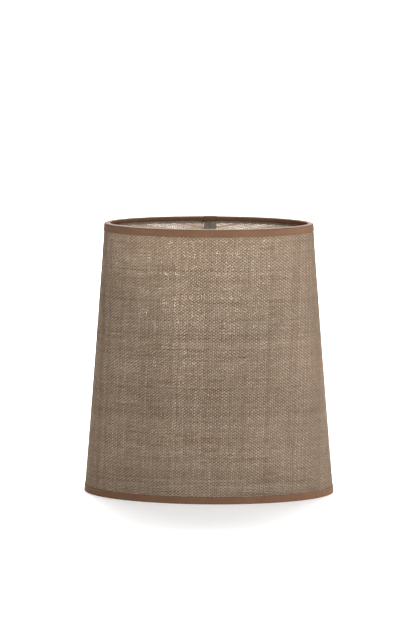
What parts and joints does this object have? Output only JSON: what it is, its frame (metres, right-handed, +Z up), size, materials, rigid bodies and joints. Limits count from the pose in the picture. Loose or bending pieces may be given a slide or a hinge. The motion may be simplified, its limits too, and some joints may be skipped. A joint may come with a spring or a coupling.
{
  "type": "lamp shade",
  "caption": "Oval tapered fabric lamp shade: woven panel on clear film, two taped wire rings, recessed ring fitter on four arms.",
  "frame": {"origin": "on the base plane under the middle of the oval", "axes": "+Z up the shade's axis, +X along the oval's long axis, -Y towards the front, with the panel's lap at the back"},
  "size_m": [0.1998, 0.0804, 0.218],
  "materials": {
    "woven_fabric": "open plain weave, grey-beige warp with brown slub weft",
    "clear_film": "clear satin laminating film",
    "lap_tape": "pale double-sided tape",
    "ring_wire": "white coated steel wire",
    "binding_tape": "fine brown woven tape, matt",
    "white_enamel": "satin white coating"
  },
  "bodies": {
    "root": {"textile_panel": "woven_fabric", "liner_film": "clear_film", "seam_tape": "lap_tape", "top_ring": "ring_wire", "bottom_ring": "ring_wire", "top_binding": "binding_tape", "bottom_binding": "binding_tape", "fitter_ring": "white_enamel", "arm_left": "white_enamel", "arm_right": "white_enamel", "arm_front": "white_enamel", "arm_back": "white_enamel"}
  },
  "joints": []
}
